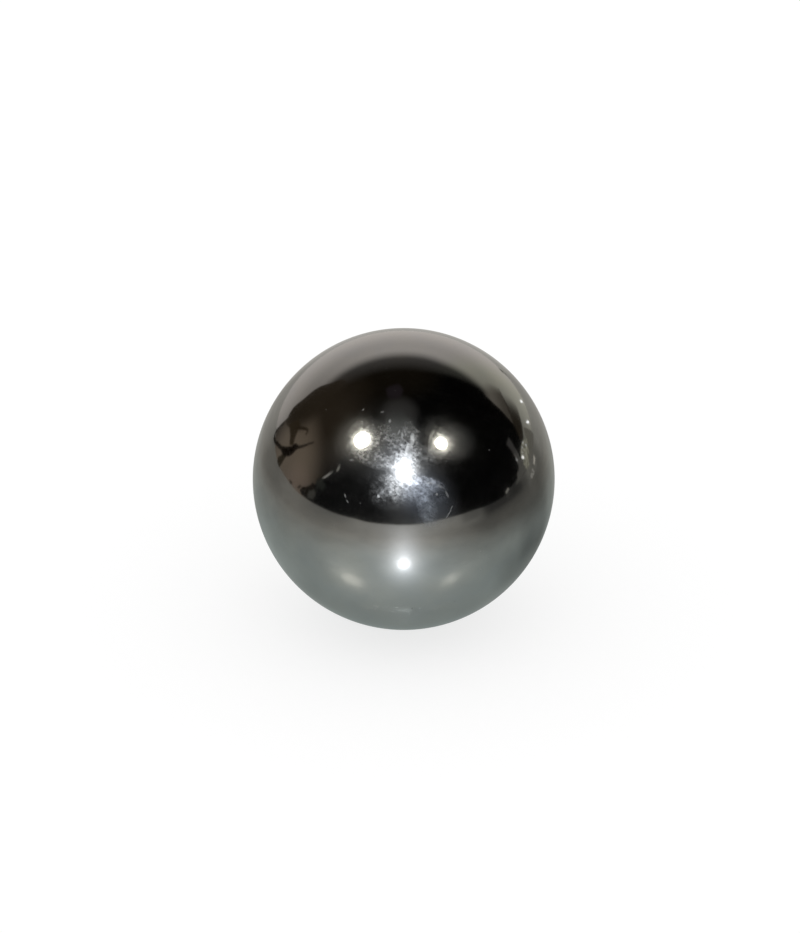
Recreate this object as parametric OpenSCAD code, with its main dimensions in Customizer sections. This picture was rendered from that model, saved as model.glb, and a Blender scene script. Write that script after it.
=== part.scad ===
// Steel ball: a loose, ground and polished ball of the kind used in bearings and
// as a weight or a gauge on the bench. It is one piece of solid steel.

/* [Ball] */
// Diameter of the ball, here the standard 1 inch size
ball_d = 25.4; // [3:0.1:100]

/* [Hidden] */

// Fine enough for a smooth outline when the ball is drawn as a mesh
$fn = 180;

// Bare polished steel
steel_colour = [0.58, 0.58, 0.57];

// The centre of the ball is the origin, because every size is measured from it
module ball() {
    color(steel_colour)
        sphere(d = ball_d);
}

ball();
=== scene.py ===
from math import cos, pi, radians, sin

import bpy
from mathutils import Matrix, Vector


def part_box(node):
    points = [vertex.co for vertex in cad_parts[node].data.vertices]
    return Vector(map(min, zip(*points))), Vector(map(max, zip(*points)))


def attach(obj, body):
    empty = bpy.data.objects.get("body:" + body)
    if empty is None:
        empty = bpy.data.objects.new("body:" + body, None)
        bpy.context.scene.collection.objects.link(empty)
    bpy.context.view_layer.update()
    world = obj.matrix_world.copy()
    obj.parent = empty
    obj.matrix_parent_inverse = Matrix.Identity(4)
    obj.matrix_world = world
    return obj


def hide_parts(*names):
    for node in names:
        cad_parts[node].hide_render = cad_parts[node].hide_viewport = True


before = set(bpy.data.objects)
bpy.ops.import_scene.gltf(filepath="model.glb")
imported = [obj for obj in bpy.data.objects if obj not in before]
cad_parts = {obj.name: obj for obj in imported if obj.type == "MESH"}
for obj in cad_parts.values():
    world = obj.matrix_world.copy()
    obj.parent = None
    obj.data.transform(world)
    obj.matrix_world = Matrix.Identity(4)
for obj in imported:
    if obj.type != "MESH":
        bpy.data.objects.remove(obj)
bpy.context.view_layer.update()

# the ball's box gives every size below, which are counted in ball radii
lowCorner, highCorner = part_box("ball")
centre = (lowCorner + highCorner) / 2
radius = min(highCorner - lowCorner) / 2
print("frame loaded, ball radius", round(radius * 1000, 3), "mm")


def heading(azimuth, elevation):
    # a direction in degrees: azimuth 0 is towards the front and grows to the right
    turn = radians(azimuth)
    tilt = radians(elevation)
    return Vector((sin(turn) * cos(tilt), -cos(turn) * cos(tilt), sin(tilt)))


def deselectAll():
    bpy.ops.object.select_all(action="DESELECT")


def bakePlace(thing):
    # moves an object's place, turn and size into its mesh
    deselectAll()
    thing.select_set(True)
    bpy.context.view_layer.objects.active = thing
    bpy.ops.object.transform_apply(location=True, rotation=True, scale=True)


class Value:
    # a node's output, to be used in sums
    def __init__(self, shader, socket):
        self.shader = shader
        self.socket = socket

    def math(self, operation, *others, clamp=False):
        sockets = dict(enumerate((self, *others)))
        return self.shader.node("ShaderNodeMath", {"operation": operation, "use_clamp": clamp}, sockets)

    def __add__(self, other):
        return self.math("ADD", other)

    def __sub__(self, other):
        return self.math("SUBTRACT", other)

    def __mul__(self, other):
        return self.math("MULTIPLY", other)

    def __truediv__(self, other):
        return self.math("DIVIDE", other)

    def __rsub__(self, other):
        return self.shader.node("ShaderNodeMath", {"operation": "SUBTRACT"}, {0: other, 1: self})

    def __rtruediv__(self, other):
        return self.shader.node("ShaderNodeMath", {"operation": "DIVIDE"}, {0: other, 1: self})

    __radd__ = __add__
    __rmul__ = __mul__


class Shader:
    # the nodes of one material
    def __init__(self, name):
        self.material = bpy.data.materials.new(name)
        self.material.use_nodes = True
        self.tree = self.material.node_tree
        self.tree.nodes.clear()

    def node(self, kind, settings, sockets, output=0):
        made = self.tree.nodes.new(kind)
        for name, setting in settings.items():
            setattr(made, name, setting)
        for key, value in sockets.items():
            if isinstance(value, Value):
                self.tree.links.new(value.socket, made.inputs[key])
            else:
                made.inputs[key].default_value = value
        return Value(self, made.outputs[output])

    def places(self):
        # Object coordinates counted in ball radii
        here = self.node("ShaderNodeTexCoord", {}, {}, "Object")
        return self.node("ShaderNodeVectorMath", {"operation": "SCALE"}, {0: here, "Scale": 1 / radius})

    def along(self, places, direction):
        sockets = {0: places, 1: direction}
        return self.node("ShaderNodeVectorMath", {"operation": "DOT_PRODUCT"}, sockets, "Value")

    def noise(self, places, scale, detail=2.0, roughness=0.5, distortion=0.0):
        sockets = {"Vector": places, "Scale": scale, "Detail": detail, "Roughness": roughness}
        return self.node("ShaderNodeTexNoise", {}, {**sockets, "Distortion": distortion}, "Fac")

    def nearestDot(self, places, scale):
        # how far off the nearest of many scattered dots is, counted in their spacing
        return self.node("ShaderNodeTexVoronoi", {}, {"Vector": places, "Scale": scale}, "Distance")

    def rise(self, value, start, end, low=0.0, high=1.0):
        # goes smoothly from low to high while value goes from start to end
        settings = {"interpolation_type": "SMOOTHSTEP"}
        return self.node("ShaderNodeMapRange", settings, {0: value, 1: start, 2: end, 3: low, 4: high})

    def streak(self, places, direction, fine, drawn):
        # noise that is drawn out along a direction
        side = direction.orthogonal().normalized()
        parts = {"X": self.along(places, direction) * drawn, "Y": self.along(places, side) * fine,
                 "Z": self.along(places, direction.cross(side)) * fine}
        return self.noise(self.node("ShaderNodeCombineXYZ", {}, parts), 1)

    def outward(self):
        # the direction in which a place lies from the ball's centre
        return self.node("ShaderNodeVectorMath", {"operation": "NORMALIZE"}, {0: self.places()})

    def near(self, outward, spot, start, end):
        # 1 within start degrees of a direction, and 0 beyond end degrees of it
        nearness = self.along(outward, heading(*spot))
        return self.rise(nearness, cos(radians(end)), cos(radians(start)))

    def blend(self, share, first, second):
        # sockets 6 and 7 and output 2 are the colour ones
        return self.node("ShaderNodeMix", {"data_type": "RGBA"}, {0: share, 6: first, 7: second}, 2)

    def glow(self, colour, strength=1.0):
        # a strength that changes over the surface scales the hue; the plain number that stays as strength
        # keeps a dim shape from being sampled like a lamp
        if isinstance(strength, Value):
            plain = 1.0
            if not isinstance(colour, Value):
                plain = max(colour[:3])
                colour = Vector(colour[:3]) / plain
            sockets = {0: colour, "Scale": strength}
            colour = self.node("ShaderNodeVectorMath", {"operation": "SCALE"}, sockets)
            strength = plain
        return self.node("ShaderNodeEmission", {}, {"Color": colour, "Strength": strength})

    def gloss(self, level, roughness):
        sockets = {"Color": (level, level, level, 1), "Roughness": roughness}
        return self.node("ShaderNodeBsdfAnisotropic", {}, sockets)

    def metal(self, colour, roughness):
        sockets = {"Base Color": colour, "Metallic": 1.0, "Roughness": roughness}
        return self.node("ShaderNodeBsdfPrincipled", {}, sockets)

    def cover(self, share, below, above):
        return self.mix(share.math("ADD", 0, clamp=True), below, above)

    def add(self, first, second):
        return self.node("ShaderNodeAddShader", {}, {0: first, 1: second})

    def mix(self, share, first, second):
        return self.node("ShaderNodeMixShader", {}, {0: share, 1: first, 2: second})

    def lay(self, glowing):
        # light laid over what is behind it, which still shows
        return self.add(self.node("ShaderNodeBsdfTransparent", {}, {}), glowing)

    def finish(self, surface):
        end = self.tree.nodes.new("ShaderNodeOutputMaterial")
        self.tree.links.new(surface.socket, end.inputs["Surface"])
        return self.material


# finish of the ball: the colours of the steel, and how rough each layer is and how much it covers
finish = {
    "darkSteel": (0.555, 0.560, 0.560, 1),
    "paleSteel": (0.580, 0.578, 0.565, 1),
    # the film's colour where it turns bluish: the film is real, but its blue tint is painted light, the
    # bluish flash light that the film scatters below the flash's highlight
    "filmWithFlashTint": (0.525, 0.565, 0.635, 1),
    "flashTintPlace": (11, 21),      # azimuth and elevation of the film's bluish part
    "flashTintSpread": (3, 14),      # degrees from there over which it fades
    "mirrorRoughness": 0.078,
    "hazeRoughness": 0.21,      # fine wiping marks that soften every reflection a little
    "hazeShare": 0.05,
    "filmRoughness": 0.34,      # the greasy film that handling leaves
    "filmShare": 0.015,
    "dustRoughness": 0.52,      # scratches and specks of dust
    "dustShare": 0.3,
    "speckScale": 18,
    "speckSize": 0.15,
    "speckRarity": 0.86,        # the share of places without a speck
    "speckEdge": 0.05,
    "markEdge": 2.2,            # a mark ends where the square of distance over length gets to this
    "filmSpeckle": (0.8, 1.2),  # how much of the speckle shows in the film
}

# patterns in the finish: noise has scale, detail, roughness and distortion, a streak has a direction and
# its scales across and along, and dots have a scale; a part of each is spread between two levels
patterns = {
    "hazeCloud": {"noise": (3.2, 3, 0.55, 0.4), "part": (0.3, 0.7), "levels": (0.7, 1.3)},
    "filmCloud": {"noise": (3.2, 3, 0.55, 0.4), "part": (0.35, 0.7), "levels": (0.3, 1.4)},
    "steelCloud": {"noise": (3.2, 3, 0.55, 0.4), "part": (0.35, 0.65), "levels": (0, 1)},
    "blotch": {"noise": (13, 5, 0.65, 0.3), "part": (0.36, 0.64), "levels": (0.5, 1.5)},
    "grain": {"noise": (46, 2, 0.6), "part": (0.38, 0.62), "levels": (0.7, 1.3)},
    "fleck": {"noise": (78, 2, 0.6), "part": (0.38, 0.62), "levels": (0.6, 1.4)},
    "speckle": {"noise": (58, 2, 0.6), "part": (0.40, 0.60), "levels": (0.3, 1.7)},
    "wipes": {"streak": (Vector((-0.77, 0, 0.64)), 60, 9), "part": (0.35, 0.65), "levels": (0.7, 1.3)},
    "pits": {"dots": 42, "part": (0.12, 0.40), "levels": (0.5, 1.08)},
}

# marks on the ball: where, length and width in ball radii, lean from upright in degrees, share
veils = [
    {"azimuth": -23.5, "elevation": 43, "length": 0.15, "width": 0.15, "lean": 0, "share": 0.19},
    {"azimuth": 19.5, "elevation": 46, "length": 0.11, "width": 0.12, "lean": 0, "share": 0.31},
    {"azimuth": 15.5, "elevation": 38.5, "length": 0.06, "width": 0.07, "lean": 0, "share": 0.20},
]
greasySpots = [
    {"azimuth": 27, "elevation": 41.5, "length": 0.10, "width": 0.12, "lean": 0, "share": 0.20},
    {"azimuth": -28, "elevation": 43, "length": 0.12, "width": 0.10, "lean": 0, "share": 0.06},
    {"azimuth": -15, "elevation": 35, "length": 0.14, "width": 0.10, "lean": -80, "share": 0.04},
    {"azimuth": -13, "elevation": 21, "length": 0.24, "width": 0.28, "lean": 0, "share": 0.016},
    {"azimuth": -1, "elevation": 34, "length": 0.20, "width": 0.11, "lean": 0, "share": 0.02},
    {"azimuth": 9, "elevation": 25, "length": 0.20, "width": 0.15, "lean": -40, "share": 0.075},
    {"azimuth": 14, "elevation": 20, "length": 0.14, "width": 0.12, "lean": 0, "share": 0.05},
    {"azimuth": 4, "elevation": 17, "length": 0.11, "width": 0.17, "lean": 0, "share": 0.10},
    {"azimuth": 13, "elevation": 15, "length": 0.10, "width": 0.13, "lean": -30, "share": 0.16},
    {"azimuth": -34, "elevation": 33, "length": 0.11, "width": 0.13, "lean": 0, "share": 0.06},
    {"azimuth": -3, "elevation": 54.5, "length": 0.09, "width": 0.11, "lean": 0, "share": 0.10},
    {"azimuth": 2.6, "elevation": 40, "length": 0.075, "width": 0.024, "lean": 12, "share": 0.14},
]
smears = [
    {"azimuth": 1, "elevation": 33, "length": 0.20, "width": 0.08, "lean": 8, "share": 0.08},
    {"azimuth": 3, "elevation": 39, "length": 0.10, "width": 0.06, "lean": 20, "share": 0.10},
    {"azimuth": -2, "elevation": 27, "length": 0.08, "width": 0.055, "lean": 0, "share": 0.23},
    {"azimuth": 6, "elevation": 24.5, "length": 0.10, "width": 0.05, "lean": -45, "share": 0.13},
    {"azimuth": -9, "elevation": 26, "length": 0.09, "width": 0.06, "lean": 30, "share": 0.14},
    {"azimuth": -7, "elevation": 22.5, "length": 0.06, "width": 0.07, "lean": 0, "share": 0.13},
    {"azimuth": 11, "elevation": 27.5, "length": 0.08, "width": 0.04, "lean": -70, "share": 0.34},
    {"azimuth": 14.5, "elevation": 24, "length": 0.06, "width": 0.05, "lean": -35, "share": 0.10},
    {"azimuth": 9.2, "elevation": 19, "length": 0.10, "width": 0.05, "lean": -12, "share": 0.30},
    {"azimuth": 3.4, "elevation": 45.5, "length": 0.10, "width": 0.055, "lean": 12, "share": 0.20},
    {"azimuth": -10.5, "elevation": 43, "length": 0.20, "width": 0.09, "lean": -55, "share": 0.18},
    {"azimuth": -13.5, "elevation": 36.5, "length": 0.12, "width": 0.045, "lean": -82, "share": 0.15},
    {"azimuth": -3, "elevation": 47, "length": 0.08, "width": 0.12, "lean": 0, "share": 0.10},
    {"azimuth": 13, "elevation": 39.5, "length": 0.05, "width": 0.07, "lean": 0, "share": 0.12},
]
scratches = [
    {"azimuth": 4.6, "elevation": 45.4, "length": 0.030, "width": 0.012, "lean": 4, "share": 0.70},
    {"azimuth": 3.9, "elevation": 42.8, "length": 0.034, "width": 0.010, "lean": 30, "share": 0.35},
    {"azimuth": 1.6, "elevation": 40.8, "length": 0.024, "width": 0.008, "lean": 14, "share": 0.5},
    {"azimuth": -0.8, "elevation": 46.6, "length": 0.020, "width": 0.006, "lean": 4, "share": 0.35},
    {"azimuth": 0.8, "elevation": 47.4, "length": 0.018, "width": 0.006, "lean": -10, "share": 0.3},
    {"azimuth": -2.6, "elevation": 47.6, "length": 0.016, "width": 0.005, "lean": 20, "share": 0.3},
    {"azimuth": -6.5, "elevation": 44, "length": 0.022, "width": 0.005, "lean": 15, "share": 0.25},
    {"azimuth": -8.5, "elevation": 46, "length": 0.018, "width": 0.005, "lean": -20, "share": 0.25},
    {"azimuth": -1.2, "elevation": 39.5, "length": 0.020, "width": 0.007, "lean": -8, "share": 0.45},
    {"azimuth": 11, "elevation": 28, "length": 0.030, "width": 0.006, "lean": -78, "share": 0.22},
    {"azimuth": 15.5, "elevation": 26.2, "length": 0.028, "width": 0.006, "lean": -55, "share": 0.20},
    {"azimuth": 17.8, "elevation": 23, "length": 0.024, "width": 0.006, "lean": -20, "share": 0.22},
    {"azimuth": 17.6, "elevation": 15.6, "length": 0.026, "width": 0.0035, "lean": 38, "share": 0.6},
    {"azimuth": 18.9, "elevation": 17.6, "length": 0.018, "width": 0.0035, "lean": 34, "share": 0.55},
    {"azimuth": -24, "elevation": 21.4, "length": 0.013, "width": 0.0045, "lean": -30, "share": 0.5},
    {"azimuth": -22.8, "elevation": 19.6, "length": 0.013, "width": 0.0035, "lean": -44, "share": 0.5},
    {"azimuth": -10.2, "elevation": 23.2, "length": 0.009, "width": 0.007, "lean": -50, "share": 1.0},
    {"azimuth": -5.2, "elevation": 25.0, "length": 0.008, "width": 0.008, "lean": 0, "share": 0.7},
    {"azimuth": -3, "elevation": 25.8, "length": 0.012, "width": 0.008, "lean": 0, "share": 0.45},
    {"azimuth": 13.5, "elevation": 23.6, "length": 0.008, "width": 0.006, "lean": 0, "share": 0.5},
    {"azimuth": -8.4, "elevation": 51.8, "length": 0.013, "width": 0.007, "lean": 0, "share": 0.5},
    {"azimuth": -27.2, "elevation": 54.6, "length": 0.009, "width": 0.006, "lean": 20, "share": 0.35},
    {"azimuth": -14, "elevation": 55.2, "length": 0.010, "width": 0.006, "lean": 60, "share": 0.3},
    {"azimuth": -24.2, "elevation": 35, "length": 0.014, "width": 0.005, "lean": 70, "share": 0.35},
]


def markMask(nodes, places, mark):
    middle = heading(mark["azimuth"], mark["elevation"])
    side = Vector((0, 0, 1)).cross(middle).normalized()
    upright = middle.cross(side)
    lean = radians(mark["lean"])
    along = upright * cos(lean) + side * sin(lean)
    across = side * cos(lean) - upright * sin(lean)
    offset = nodes.node("ShaderNodeVectorMath", {"operation": "SUBTRACT"}, {0: places, 1: middle})
    alongShare = nodes.along(offset, along) / mark["length"]
    acrossShare = nodes.along(offset, across) / mark["width"]
    inward = nodes.along(offset, middle) / mark["length"]
    reach = alongShare * alongShare + acrossShare * acrossShare + inward * inward
    return nodes.rise(reach, finish["markEdge"], 0, 0, mark["share"])


def allMarks(nodes, places, marks, start):
    total = start
    for mark in marks:
        total = total + markMask(nodes, places, mark)
    return total


def dustSpecks(nodes, places):
    scatter = {"Vector": places, "Scale": finish["speckScale"]}
    nearest = nodes.nearestDot(places, finish["speckScale"])
    cellNumber = nodes.along(nodes.node("ShaderNodeTexVoronoi", {}, scatter, "Color"), (1, 0, 0))
    size = nodes.rise(cellNumber, finish["speckRarity"], 1) * finish["speckSize"]
    return nodes.rise(size - nearest, 0, finish["speckEdge"]) * finish["dustShare"]


def pattern(nodes, places, name):
    look = patterns[name]
    if "dots" in look:
        value = nodes.nearestDot(places, look["dots"])
    elif "streak" in look:
        value = nodes.streak(places, *look["streak"])
    else:
        value = nodes.noise(places, *look["noise"])
    return nodes.rise(value, *look["part"], *look["levels"])


def polishedSteel():
    nodes = Shader("polished_steel")
    places = nodes.places()
    speckle = pattern(nodes, places, "speckle")
    grain = pattern(nodes, places, "grain")
    haze = allMarks(nodes, places, veils, pattern(nodes, places, "hazeCloud") * finish["hazeShare"])
    haze = haze * pattern(nodes, places, "fleck") * speckle
    film = allMarks(nodes, places, smears, pattern(nodes, places, "filmCloud") * finish["filmShare"])
    for name in ("blotch", "wipes", "pits"):
        film = film * pattern(nodes, places, name)
    film = film * grain * nodes.rise(speckle, *patterns["speckle"]["levels"], *finish["filmSpeckle"])
    film = allMarks(nodes, places, greasySpots, film)
    dust = allMarks(nodes, places, scratches, dustSpecks(nodes, places)) * grain
    cloud = pattern(nodes, places, "steelCloud")
    colour = nodes.blend(cloud, finish["darkSteel"], finish["paleSteel"])
    # painted tint: the film's colour turns bluish below the flash's highlight, for the flash light it
    # scatters there
    flashTint = nodes.near(nodes.outward(), finish["flashTintPlace"], *finish["flashTintSpread"])
    filmColourWithFlashTint = nodes.blend(flashTint, colour, finish["filmWithFlashTint"])
    surface = nodes.metal(colour, finish["mirrorRoughness"])
    surface = nodes.cover(haze, surface, nodes.metal(colour, finish["hazeRoughness"]))
    surface = nodes.cover(film, surface, nodes.metal(filmColourWithFlashTint, finish["filmRoughness"]))
    surface = nodes.cover(dust, surface, nodes.metal(colour, finish["dustRoughness"]))
    return nodes.finish(surface)


ball = {
    "name": "steel_ball",
    "cutsPerEdge": 100,         # cuts along each edge of the cube that the ball is rounded from
}


def makeBall():
    deselectAll()
    bpy.ops.mesh.primitive_cube_add(size=radius, location=centre)
    piece = bpy.context.object
    piece.name = ball["name"]
    bpy.ops.object.mode_set(mode="EDIT")
    bpy.ops.mesh.select_all(action="SELECT")
    bpy.ops.mesh.subdivide(number_cuts=ball["cutsPerEdge"])
    bpy.ops.object.mode_set(mode="OBJECT")
    rounding = piece.modifiers.new("rounding", "CAST")
    rounding.cast_type = "SPHERE"
    rounding.factor = 1
    rounding.use_radius_as_size = False
    rounding.size = radius
    bpy.ops.object.modifier_apply(modifier=rounding.name)
    bpy.ops.object.shade_smooth()
    bakePlace(piece)
    piece.data.materials.append(polishedSteel())
    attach(piece, "root")
    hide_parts("ball")
    print("ball made,", len(piece.data.polygons), "faces")


makeBall()


# the studio round the ball: lengths in ball radii, heights from the ball's centre
studio = {
    "floorReach": 150,
    "floorGlow": 0.74,
    "floorColour": (0.28, 0.28, 0.28, 1),
    "roomReach": 70,
    "roomFoot": -0.999,         # just above the floor, and the sheet just above that
    "roomGlow": (0.0006, 0.0005, 0.0005, 1),
    "glintDistance": 13,
}


def hideFromCamera(thing):
    # it shows only in the ball's mirror, and casts neither light nor shade on the floor
    thing.visible_camera = False
    thing.visible_diffuse = False
    thing.visible_shadow = False


def makeFloor():
    deselectAll()
    size = 2 * studio["floorReach"] * radius
    bpy.ops.mesh.primitive_plane_add(size=size, location=centre - Vector((0, 0, radius)))
    floor = bpy.context.object
    floor.name = "floor"
    bakePlace(floor)
    nodes = Shader("pale_floor")
    matt = nodes.node("ShaderNodeBsdfDiffuse", {}, {"Color": studio["floorColour"]})
    lift = nodes.glow((1, 1, 1, 1), studio["floorGlow"])
    floor.data.materials.append(nodes.finish(nodes.add(matt, lift)))


# painted light on the walls of the dark room, glowing patches for its lit parts: a middle, how far it
# reaches in degrees, a colour
paintedRoomLight = [
    {"azimuth": -98, "elevation": 2, "reach": 35, "colour": (0.125, 0.100, 0.077, 1)},
    {"azimuth": -127, "elevation": 3, "reach": 24, "colour": (0.036, 0.030, 0.024, 1)},
    {"azimuth": -86, "elevation": -2, "reach": 16, "colour": (0.022, 0.014, 0.014, 1)},
    {"azimuth": -100, "elevation": 32, "reach": 45, "colour": (0.022, 0.016, 0.010, 1)},
    {"azimuth": -45, "elevation": 76, "reach": 22, "colour": (0.006, 0.0055, 0.0045, 1)},
    {"azimuth": -170, "elevation": 64, "reach": 30, "colour": (0.0055, 0.0040, 0.0020, 1)},
    {"azimuth": -20, "elevation": 83, "reach": 15, "colour": (0.020, 0.019, 0.018, 1)},
]


def makeRoom():
    deselectAll()
    reach = studio["roomReach"] * radius
    place = centre + Vector((0, 0, reach + studio["roomFoot"] * radius))
    bpy.ops.mesh.primitive_cube_add(size=2 * reach, location=place)
    room = bpy.context.object
    room.name = "dark_room"
    bakePlace(room)
    nodes = Shader("dark_room")
    outward = nodes.outward()
    tone = nodes.glow(studio["roomGlow"])
    for spot in paintedRoomLight:
        spread = nodes.near(outward, (spot["azimuth"], spot["elevation"]), 0, spot["reach"])
        tone = nodes.add(tone, nodes.glow(spot["colour"], spread))
    room.data.materials.append(nodes.finish(tone))
    hideFromCamera(room)


def flatShape(name, corners, rounded, place, turn):
    # a filled outline: its corners in ball radii, its place and its turn
    curve = bpy.data.curves.new(name, "CURVE")
    curve.dimensions = "2D"
    curve.fill_mode = "BOTH"
    spline = curve.splines.new("BEZIER" if rounded else "POLY")
    spline.use_cyclic_u = True
    points = spline.bezier_points if rounded else spline.points
    points.add(len(corners) - 1)
    for point, (x, y) in zip(points, corners):
        if rounded:
            point.co = (x * radius, y * radius, 0)
            point.handle_left_type = point.handle_right_type = "AUTO"
        else:
            point.co = (x * radius, y * radius, 0, 1)
    thing = bpy.data.objects.new(name, curve)
    thing.location = place
    thing.rotation_euler = turn
    bpy.context.scene.collection.objects.link(thing)
    deselectAll()
    thing.select_set(True)
    bpy.context.view_layer.objects.active = thing
    bpy.ops.object.convert(target="MESH")
    thing = bpy.context.object
    bakePlace(thing)
    return thing


# the pale sheet that the ball lies on: its corners, colours and gloss, and how its tone falls off, which
# is painted light dimming away from the ball; four numbers are two distances from the ball's foot and
# the levels there
sheet = {
    "height": -0.998,
    "outline": [(-13.4, -8.5), (-12.9, -10), (-13, -13), (-10.6, -14), (-6.5, -13), (-3, -15), (0, -15),
                (3, -15.2), (6, -17.5), (10, -20), (13.5, -19.5), (18.3, -16), (17.7, -12.6),
                (15.5, -8.5), (14.2, -4), (14.5, -2.7), (22, -2), (28, 3), (32, 16.3), (-17.3, 16.3),
                (-15, 9), (-14, 5), (-15.5, 2), (-13.2, -2.5)],
    "nearColour": (0.262, 0.298, 0.286, 1),
    "farColour": (0.350, 0.338, 0.300, 1),
    # colour of the pale wall's painted reflection in the sheet, on the side away from the camera
    "wallReflectionColour": (0.430, 0.420, 0.395, 1),
    "gloss": 0.026,
    "glossRoughness": 0.18,
    "sheen": 0.15,
    "sheenRoughness": 0.42,
    "mottleNoise": (1.4, 3),
    "mottleLevels": (0.3, 0.7, 0.93, 1.07),
    "tone": (0.8, 5.5, 1, 0.48),
    # painted shadow of the ball on the sheet close to its foot
    "footShade": (0.6, 1.2, 0.85, 1),
    # how the wall's painted reflection fades far from the ball
    "wallReflectionFalloff": (4, 11, 1, 0.85),
    "colourChange": (1.2, 5),
}

# light and shade on the sheet: which way from the ball, two angles from there over which it fades,
# the distances over which it starts and ends, and how much it does; the last of the lights is the small
# spot that the ball throws down before its foot
sheetShades = [
    {"azimuth": 96, "fade": (12, 38), "starts": (0.75, 1.1), "ends": (1.3, 2.2), "share": 0.30},
    {"azimuth": 100, "fade": (4, 22), "starts": (1.0, 1.6), "ends": (2.6, 4.4), "share": 0.26},
    {"azimuth": 84, "fade": (22, 50), "starts": (1.5, 4.2), "ends": (5, 9), "share": 0.55},
    {"azimuth": 78, "fade": (14, 28), "starts": (5, 9), "share": 0.88},
    {"azimuth": 112, "fade": (6, 16), "starts": (5, 9), "share": 0.40},
    {"azimuth": -114, "fade": (8, 22), "starts": (3, 6), "share": 0.17},
    {"azimuth": -56, "fade": (8, 24), "starts": (4, 9), "share": 0.22},
]
cornerShade = {"azimuth": 52, "fade": (6, 14), "starts": (5, 10), "share": 0.46}
ballShade = {"azimuth": 160, "fade": (20, 95), "starts": (0.15, 0.8), "ends": (1.5, 4), "share": 0.22}
sheetLights = [
    {"azimuth": -8, "fade": (0, 48), "starts": (1.0, 3), "share": 0.44},
    {"azimuth": 34, "fade": (6, 18), "starts": (4, 9), "share": 0.198},
    {"azimuth": 0, "fade": (1, 6), "starts": (0.79, 0.87), "ends": (0.88, 0.97), "share": 0.22},
]
# painted reflection of the pale wall in the sheet, on the side away from the camera
wallLights = [
    {"azimuth": 180, "fade": (25, 57), "starts": (0.7, 1.8), "share": 0.4},
    {"azimuth": 180, "fade": (0, 25), "starts": (0.7, 1.8), "share": 0.6},
]


def spotLevel(nodes, way, away, spots):
    # how much the spots do together at a place that lies that way and that far from the ball's foot
    total = 0
    for spot in spots:
        share = nodes.near(way, (spot["azimuth"], 0), *spot["fade"])
        share = share * nodes.rise(away, *spot["starts"], 0, spot["share"])
        if "ends" in spot:
            share = share * nodes.rise(away, *spot["ends"], 1, 0)
        total = share + total
    return total


def makeSheet():
    place = centre + Vector((0, 0, sheet["height"] * radius))
    thing = flatShape("sheet", sheet["outline"], False, place, (0, 0, 0))
    nodes = Shader("sheet")
    places = nodes.places()
    flat = nodes.node("ShaderNodeVectorMath", {"operation": "MULTIPLY"}, {0: places, 1: (1, 1, 0)})
    away = nodes.node("ShaderNodeVectorMath", {"operation": "LENGTH"}, {0: flat}, "Value")
    way = nodes.node("ShaderNodeVectorMath", {"operation": "NORMALIZE"}, {0: flat})
    mottle = nodes.rise(nodes.noise(places, *sheet["mottleNoise"]), *sheet["mottleLevels"])
    # the sheet's glow is painted light: dimmer away from the ball, and darker by the ball's foot as a painted
    # shadow
    tone = nodes.rise(away, *sheet["tone"]) * nodes.rise(away, *sheet["footShade"]) * mottle
    shade = spotLevel(nodes, way, away, sheetShades)
    shade = shade.math("MAXIMUM", spotLevel(nodes, way, away, [cornerShade]))
    tone = tone * (1 + spotLevel(nodes, way, away, sheetLights)) * (1 - shade)
    tone = tone * (1 - spotLevel(nodes, way, away, [ballShade]))
    # painted reflection of the pale wall: the sheet glows paler and brighter on the side away from the camera
    wallReflection = spotLevel(nodes, way, away, wallLights) * nodes.rise(away, *sheet["wallReflectionFalloff"])
    colour = nodes.blend(nodes.rise(away, *sheet["colourChange"]), sheet["nearColour"], sheet["farColour"])
    colour = nodes.blend(wallReflection, colour, sheet["wallReflectionColour"])
    glow = nodes.glow(colour, tone * (1 - wallReflection) + wallReflection * mottle)
    gloss = nodes.gloss(sheet["gloss"], sheet["glossRoughness"])
    sheen = nodes.gloss(sheet["sheen"], sheet["sheenRoughness"])
    thing.data.materials.append(nodes.finish(nodes.add(glow, nodes.add(gloss, sheen))))
    hideFromCamera(thing)


# the pale wall behind: its edges, and its light; four numbers are two heights or two places across,
# and the levels there
wall = {
    "distance": 16,
    "outline": [(-18.5, -1), (-19.5, 1), (-20.5, 3), (-22.5, 5.5), (-28, 8.5), (-28, 36), (31, 36), (31, -1)],
    "colour": (1.0, 0.935, 0.88, 1),
    "rightColour": (1.0, 0.97, 0.82, 1),
    "colourChange": (5, 11),
    "footLight": (9, 0, 0.36, 0.52),
    "lightEnds": (17.6, 11.2),  # heights between which the light goes out
    "rightLift": (3, 8, 0, 0.6),
    "topGlow": (30, 13, 0, 0.064),
    "sideFall": 19,             # how far across the light halves
    "corner": (28, 22),         # the upper right corner is cut off softly, counted along the diagonal
}


def makeWall():
    place = centre + Vector((0, wall["distance"] * radius, 0))
    thing = flatShape("back_wall", wall["outline"], False, place, (radians(90), 0, 0))
    nodes = Shader("back_wall")
    places = nodes.places()
    height = nodes.along(places, (0, 0, 1))
    across = nodes.along(places, (1, 0, 0))
    top = height - nodes.rise(across, *wall["rightLift"])
    level = nodes.rise(top, *wall["lightEnds"]) * nodes.rise(height, *wall["footLight"])
    level = level + nodes.rise(height, *wall["topGlow"])
    side = across / wall["sideFall"]
    corner = nodes.along(places, Vector((1, 0, 1)).normalized())
    level = level / (1 + side * side) * nodes.rise(corner, *wall["corner"])
    colour = nodes.blend(nodes.rise(across, *wall["colourChange"]), wall["colour"], wall["rightColour"])
    thing.data.materials.append(nodes.finish(nodes.lay(nodes.glow(colour, level))))
    hideFromCamera(thing)
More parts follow.
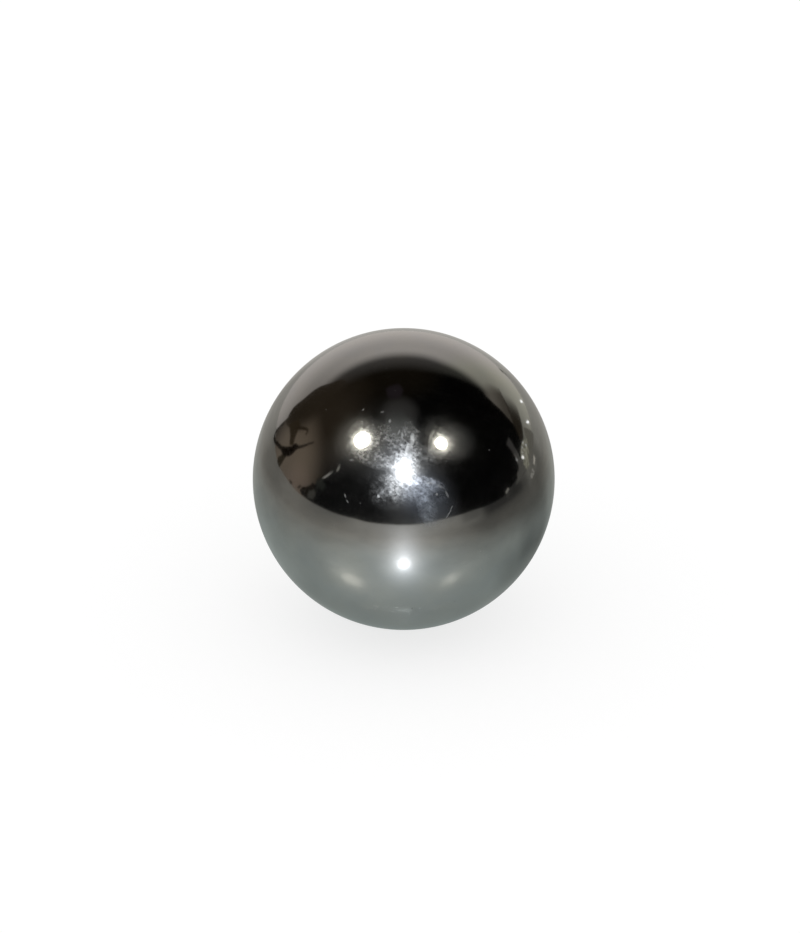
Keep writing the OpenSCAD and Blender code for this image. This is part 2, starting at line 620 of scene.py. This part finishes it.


# cards that stand round the ball: how far off, their corners as azimuth and elevation, and a colour;
# a top colour comes in between two heights, and a card fades between two angles from a middle
# each card glows with its colour, painted light in place of the lamps' light on it
cards = [
    {"name": "dark_flap", "distance": 14, "rounded": False, "colour": (0.0015, 0.0015, 0.0015, 1),
     "outline": [(-81, -2), (-79, -5), (-60, -6), (-34, -6), (-34, 24), (-44, 36), (-55, 36), (-58, 31),
                 (-57, 24), (-60, 20.5), (-65.5, 14), (-69, 12), (-69, 9.5), (-71.5, 5.5), (-75, 1),
                 (-79, -0.5)]},
    {"name": "flap_patch", "distance": 13.8, "rounded": False, "colour": (0.017, 0.019, 0.016, 1),
     "outline": [(-70, 11), (-67, 12.5), (-65, 14.5), (-63.5, 11.5), (-61, 12), (-62.5, 6), (-66, 8),
                 (-67.5, 5)]},
    {"name": "low_patch", "distance": 13.8, "rounded": False, "colour": (0.046, 0.044, 0.038, 1),
     "outline": [(-74, 2.5), (-71.5, 3), (-70, 6), (-68.5, 3.5), (-67, 4), (-68.5, -2), (-74, -3)]},
    {"name": "dark_drape", "distance": 14.5, "rounded": False, "colour": (0.022, 0.016, 0.010, 1),
     "fade": ((-132, 25), 14, 27),
     "outline": [(-119, 10), (-121.5, 8.5), (-125, 7), (-128, 9), (-130, 11.5), (-130, 15),
                 (-130, 19), (-132, 23.5), (-133.5, 28), (-133.5, 35), (-136, 42), (-130, 50),
                 (-110, 50), (-98, 36), (-98, 24), (-104, 19), (-112, 15)]},
    {"name": "stem_top", "distance": 14, "rounded": False, "colour": (0.028, 0.020, 0.011, 1),
     "outline": [(-120.5, 10), (-116, 11), (-111.5, 11), (-107, 9), (-103.5, 12), (-106, 14), (-108, 17),
                 (-111, 20), (-116, 19)]},
    {"name": "stem_foot", "distance": 14, "rounded": True, "colour": (0.026, 0.020, 0.012, 1),
     "outline": [(-109.5, 3.5), (-110, 1), (-112.5, -2.5), (-111, -4.2), (-108, -4.5), (-106.5, -2),
                 (-105.5, 1), (-105, 5)]},
    {"name": "stem_knot", "distance": 13.6, "rounded": True, "colour": (0.003, 0.0015, 0.0005, 1),
     "outline": [(-113, 2.5), (-109.5, 6), (-105, 10), (-101.5, 14.5), (-98.5, 14.5), (-99, 11), (-101, 7),
                 (-104, 4.5), (-108, 2.5)]},
    {"name": "bright_edge", "distance": 13.5, "rounded": False, "colour": (0.50, 0.48, 0.44, 1),
     "outline": [(-66, 13.8), (-64.5, 15.5), (-62, 18.8), (-60, 21.8), (-59.9, 21.2), (-61.6, 18),
                 (-63.8, 15)]},
    {"name": "bright_tip", "distance": 13.5, "rounded": False, "colour": (0.50, 0.48, 0.43, 1),
     "outline": [(-57, 23.3), (-56.6, 25), (-56.6, 29), (-56, 27), (-55.8, 25), (-56.2, 23.3)]},
    {"name": "grey_wedge", "distance": 15, "rounded": False, "colour": (0.085, 0.082, 0.074, 1),
     "topColour": (0.045, 0.042, 0.040, 1), "heights": (0, 3.2),
     "outline": [(103.8, 17.2), (98, 17.2), (98.3, 14), (98.8, 11), (99.2, 7.5), (99.2, 5), (98.2, 2.5),
                 (97, 1), (94, 0.5), (93.9, -1.2), (91.7, -2.9), (90, -3.5), (99, -8.5), (108, -9),
                 (105.9, -4.6), (104.3, -1), (103.5, 3), (102.8, 4.2), (103.6, 6.6), (103, 11),
                 (103.8, 14.3)]},
    {"name": "low_panel", "distance": 15.5, "rounded": False, "colour": (0.130, 0.124, 0.108, 1),
     "topColour": (0.130, 0.121, 0.098, 1), "heights": (-1.6, 1.2), "fade": ((118, -3), 10, 18),
     "outline": [(123.5, 5.7), (129, -1), (132, -7), (133.5, -11), (133.5, -14.5), (128, -18), (118, -18),
                 (104, -13), (106, -9), (107, -4.5), (108, 0), (113, 3), (119.3, 4.1)]},
    {"name": "grey_band", "distance": 15.5, "rounded": False, "colour": (0.062, 0.054, 0.043, 1),
     "topColour": (0.130, 0.117, 0.098, 1), "heights": (5, 8), "fade": ((121, 20), 8, 17),
     "outline": [(130.5, 35.5), (123.5, 33), (120, 28), (118.5, 23.5), (117, 19.5), (116.5, 14.5),
                 (121.5, 17), (126, 17.5), (128, 18), (130.5, 18.7), (133.5, 19), (136.5, 18.7),
                 (141.5, 24.5), (138, 32)]},
    {"name": "brown_flap", "distance": 15.2, "rounded": False, "colour": (0.018, 0.014, 0.009, 1),
     "fade": ((116, 9), 4, 20.5),
     "outline": [(136.5, 18.7), (133.5, 19), (130.5, 18.7), (128, 18), (126, 17.5), (121.5, 17),
                 (116.5, 14.5), (112, 8), (115.5, 5.6), (119, 6.2), (123.8, 7), (128.2, 8),
                 (132.2, 8.2), (135.7, 9.3), (138.3, 11), (139.7, 13.5)]},
    {"name": "glass_strip", "distance": 14.5, "rounded": False, "colour": (0.205, 0.20, 0.158, 1),
     "sparkleNoise": (2.4, 3, 0.7), "sparkleLevels": (0.40, 0.62, 0.45, 1.9),
     "outline": [(115.5, 5.5), (112, 6.5), (108.5, 6.3), (105.3, 5), (104, 3.3), (104.3, -0.9), (106, -4.6),
                 (108, -7), (110.4, -9.7), (110, -4.4), (111, -1), (114.5, -0.4), (118.5, 1), (119, 4)]},
    {"name": "ceiling_glow", "distance": 30, "rounded": False, "colour": (0.125, 0.128, 0.122, 1),
     "topColour": (0.042, 0.043, 0.039, 1), "heights": (27, 29.5), "fade": ((-8, 66), 9, 18),
     "outline": [(-29, 62), (-44, 72), (-57, 78), (-59, 81.5), (-31, 83.5), (6, 79), (18, 73), (23.5, 65),
                 (19, 59), (-5, 58)]},
    {"name": "ceiling_finger", "distance": 30, "rounded": False, "colour": (0.017, 0.013, 0.015, 1),
     "fade": ((-150, 79.5), 0, 9),
     "outline": [(-100, 80), (-140, 73), (-172, 72), (-178, 80), (-131, 87)]},
]

# cords that hang round the ball: points as azimuth and elevation, thickness in ball radii at both ends
# each cord glows with its colour, painted light in place of the lamps' light on it
cords = [
    {"name": "hook_left", "distance": 14, "thick": (0.55, 0.14), "colour": (0.006, 0.004, 0.002, 1),
     "points": [(-110, 4.5), (-113, 2.5), (-119.5, -0.3), (-125.5, -2.8), (-128.8, -2.6), (-128, 1),
                (-125.5, 6)]},
    {"name": "hook_right", "distance": 14, "thick": (0.50, 0.22), "colour": (0.006, 0.004, 0.002, 1),
     "points": [(-101, 12), (-95, 18), (-91.5, 22.5), (-88.5, 26)]},
    {"name": "hook_curl", "distance": 14, "thick": (0.5, 0.3), "colour": (0.022, 0.015, 0.008, 1),
     "points": [(-111, 17.5), (-107, 21), (-103, 24), (-101, 24.5), (-100, 22.5)]},
    {"name": "crumb_middle", "distance": 13.7, "thick": (1.0, 0.45), "colour": (0.006, 0.004, 0.002, 1),
     "points": [(-74.5, -1.5), (-77.5, 0.5), (-81, -2.5)]},
    {"name": "crumb_left", "distance": 13.8, "thick": (0.25, 0.35), "colour": (0.02, 0.014, 0.008, 1),
     "points": [(-84, -2), (-81.5, 0.5)]},
    {"name": "crumb_right", "distance": 13.7, "thick": (0.5, 0.9), "colour": (0.008, 0.006, 0.004, 1),
     "points": [(-77, 0), (-75, 2.5), (-73, 3.5), (-70.5, 7)]},
    {"name": "dark_spot", "distance": 13.8, "thick": (0.35, 0.3), "colour": (0.02, 0.014, 0.008, 1),
     "points": [(-90, -3), (-93, -2.5)]},
    {"name": "dark_hair", "distance": 14.8, "thick": (0.12, 0.30), "colour": (0.02, 0.014, 0.010, 1),
     "points": [(136.7, 18.6), (133.4, 18.9), (130.4, 18.7), (128, 18.2), (126, 17.5), (121.6, 17)]},
    {"name": "rim_dash", "distance": 15, "thick": (0.6, 0.4), "colour": (0.10, 0.11, 0.09, 1),
     "points": [(157.3, -1.3), (157, -3), (155.5, -4.2)]},
    {"name": "pale_dash", "distance": 8, "thick": (0.32, 0.22), "colour": (0.50, 0.47, 0.41, 1),
     "points": [(116.6, -4.6), (113, -6)]},
    {"name": "pale_curl", "distance": 5.5, "thick": (0.10, 0.12), "colour": (0.28, 0.27, 0.245, 1),
     "points": [(106.6, -4.6), (108, -7), (103.8, -6.2), (105.5, -7.8)]},
    {"name": "pale_fleck", "distance": 14.3, "thick": (0.3, 0.4), "colour": (0.28, 0.27, 0.24, 1),
     "points": [(79.5, -3), (82.8, -1.6)]},
    {"name": "wedge_edge", "distance": 14.6, "thick": (0.16, 0.26), "colour": (0.16, 0.155, 0.14, 1),
     "points": [(99, 9.5), (99.4, 6.5), (98.9, 3.8)]},
]

# the camera: where it stands, how far off and what it can see in ball radii, and its lens
view = {
    "azimuth": 0,
    "elevation": 30,
    "distance": 40,
    "clipStart": 1,
    "clipEnd": 400,
    "sensor": 36,
    "lens": 233,
    "shiftX": -0.0040,
    "shiftY": 0.0134,
}

# glowing specks round the ball, painted highlights that the mirror shows: a middle, the width in ball
# radii, how many times longer than wide each one is, and how bright
glints = [
    {"azimuth": 142, "elevation": 0.8, "size": 0.22, "stretch": 5, "level": 1.8},
    {"azimuth": 131.2, "elevation": 1.1, "size": 0.24, "stretch": 4.5, "level": 1.9},
    {"azimuth": 105.5, "elevation": 2.8, "size": 0.32, "stretch": 2, "level": 2},
    {"azimuth": 98.7, "elevation": 6.2, "size": 0.26, "stretch": 1.5, "level": 0.6},
    {"azimuth": 112.7, "elevation": 6, "size": 0.18, "stretch": 2, "level": 0.8},
    {"azimuth": 109.4, "elevation": 5.6, "size": 0.16, "stretch": 2, "level": 0.7},
    {"azimuth": 107.5, "elevation": 4.2, "size": 0.16, "stretch": 2, "level": 0.6},
    {"azimuth": 114.5, "elevation": 3, "size": 0.20, "stretch": 2.5, "level": 0.7},
]


def cardSurface(card):
    nodes = Shader(card["name"])
    places = nodes.places()
    colour = card["colour"]
    if "topColour" in card:
        height = nodes.along(places, (0, 0, 1))
        colour = nodes.blend(nodes.rise(height, *card["heights"]), colour, card["topColour"])
    strength = 1.0
    # painted sparkle: the glass strip glows brighter in spots, for glints of light on it
    if "sparkleNoise" in card:
        strength = nodes.rise(nodes.noise(places, *card["sparkleNoise"]), *card["sparkleLevels"])
    surface = nodes.glow(colour, strength)
    if "fade" in card:
        solid = nodes.near(nodes.outward(), *card["fade"])
        surface = nodes.mix(solid, nodes.node("ShaderNodeBsdfTransparent", {}, {}), surface)
    return nodes.finish(surface)


def makeCard(card):
    # it faces the ball, and its corners lie where they are seen from the ball's centre
    corners = [heading(*place) for place in card["outline"]]
    way = sum(corners, Vector()).normalized()
    turn = way.to_track_quat("Z", "Y")
    reach = card["distance"]
    flat = [(turn.inverted() @ (corner / corner.dot(way)) * reach).xy for corner in corners]
    thing = flatShape(card["name"], flat, card["rounded"], centre + way * reach * radius, turn.to_euler())
    thing.data.materials.append(cardSurface(card))
    hideFromCamera(thing)


def plainGlow(name, colour):
    nodes = Shader(name)
    return nodes.finish(nodes.glow(colour))


def makeCord(cord):
    curve = bpy.data.curves.new(cord["name"], "CURVE")
    curve.dimensions = "3D"
    first, last = cord["thick"]
    curve.bevel_depth = first / 2 * radius
    spline = curve.splines.new("BEZIER")
    steps = len(cord["points"]) - 1
    spline.bezier_points.add(steps)
    for number, place in enumerate(cord["points"]):
        point = spline.bezier_points[number]
        point.co = centre + heading(*place) * cord["distance"] * radius
        point.handle_left_type = point.handle_right_type = "AUTO"
        point.radius = 1 + (last / first - 1) * number / steps
    thing = bpy.data.objects.new(cord["name"], curve)
    bpy.context.scene.collection.objects.link(thing)
    curve.materials.append(plainGlow(cord["name"], cord["colour"]))
    hideFromCamera(thing)


def makeGlint(number, glint):
    deselectAll()
    way = heading(glint["azimuth"], glint["elevation"])
    size = glint["size"] / 2 * radius
    place = centre + way * studio["glintDistance"] * radius
    bpy.ops.mesh.primitive_ico_sphere_add(subdivisions=2, radius=size, location=place)
    thing = bpy.context.object
    side = way.cross(heading(view["azimuth"], view["elevation"])).normalized()
    thing.rotation_euler = Matrix((side.cross(way), side, way)).transposed().to_euler()
    thing.scale.x = glint["stretch"]        # along what the ball's edge shows squeezed
    thing.name = f"glint_{number}"
    bakePlace(thing)
    level = glint["level"]
    thing.data.materials.append(plainGlow(thing.name, (level, level, level, 1)))
    hideFromCamera(thing)


# lamps: how far off and how wide in ball radii, and the strength that a lamp's face shows
lamps = [
    {"name": "lamp_left", "azimuth": -50.9, "elevation": 50.3, "distance": 21, "across": 4.0, "level": 17,
     "colour": (1, 0.96, 0.85)},
    {"name": "lamp_right", "azimuth": 44.5, "elevation": 49.7, "distance": 21, "across": 2.9, "level": 17,
     "colour": (1, 0.96, 0.85)},
    {"name": "flash", "azimuth": 0, "elevation": 35, "distance": 40, "across": 4.2, "level": 200,
     "colour": (0.90, 0.94, 1)},
]


def makeLamp(lamp):
    light = bpy.data.lights.new(lamp["name"], "AREA")
    light.shape = "DISK"
    light.size = lamp["across"] * radius
    light.color = lamp["colour"]
    area = pi * (light.size / 2) ** 2
    light.energy = lamp["level"] * pi * area
    way = heading(lamp["azimuth"], lamp["elevation"])
    thing = bpy.data.objects.new(lamp["name"], light)
    thing.location = centre + way * lamp["distance"] * radius
    thing.rotation_euler = way.to_track_quat("Z", "Y").to_euler()
    bpy.context.scene.collection.objects.link(thing)
    thing.visible_camera = False
    thing.visible_diffuse = False


def makeWorld():
    world = bpy.data.worlds.new("white_studio")
    bpy.context.scene.world = world
    world.use_nodes = True
    background = world.node_tree.nodes["Background"]
    background.inputs["Color"].default_value = (1, 1, 1, 1)
    background.inputs["Strength"].default_value = 1


makeFloor()
makeRoom()
makeSheet()
makeWall()
for card in cards:
    makeCard(card)
for cord in cords:
    makeCord(cord)
for number, glint in enumerate(glints):
    makeGlint(number, glint)
for lamp in lamps:
    makeLamp(lamp)
makeWorld()
print("studio made")


def makeCamera():
    camera = bpy.data.objects.new("camera", bpy.data.cameras.new("camera"))
    bpy.context.scene.collection.objects.link(camera)
    camera.data.sensor_width = view["sensor"]
    camera.data.lens = view["lens"]
    camera.data.shift_x = view["shiftX"]
    camera.data.shift_y = view["shiftY"]
    camera.data.clip_start = view["clipStart"] * radius
    camera.data.clip_end = view["clipEnd"] * radius
    way = heading(view["azimuth"], view["elevation"])
    camera.location = centre + way * view["distance"] * radius
    camera.rotation_euler = way.to_track_quat("Z", "Y").to_euler()
    bpy.context.scene.camera = camera


makeCamera()
bpy.context.scene.view_settings.view_transform = "Standard"
print("camera made")
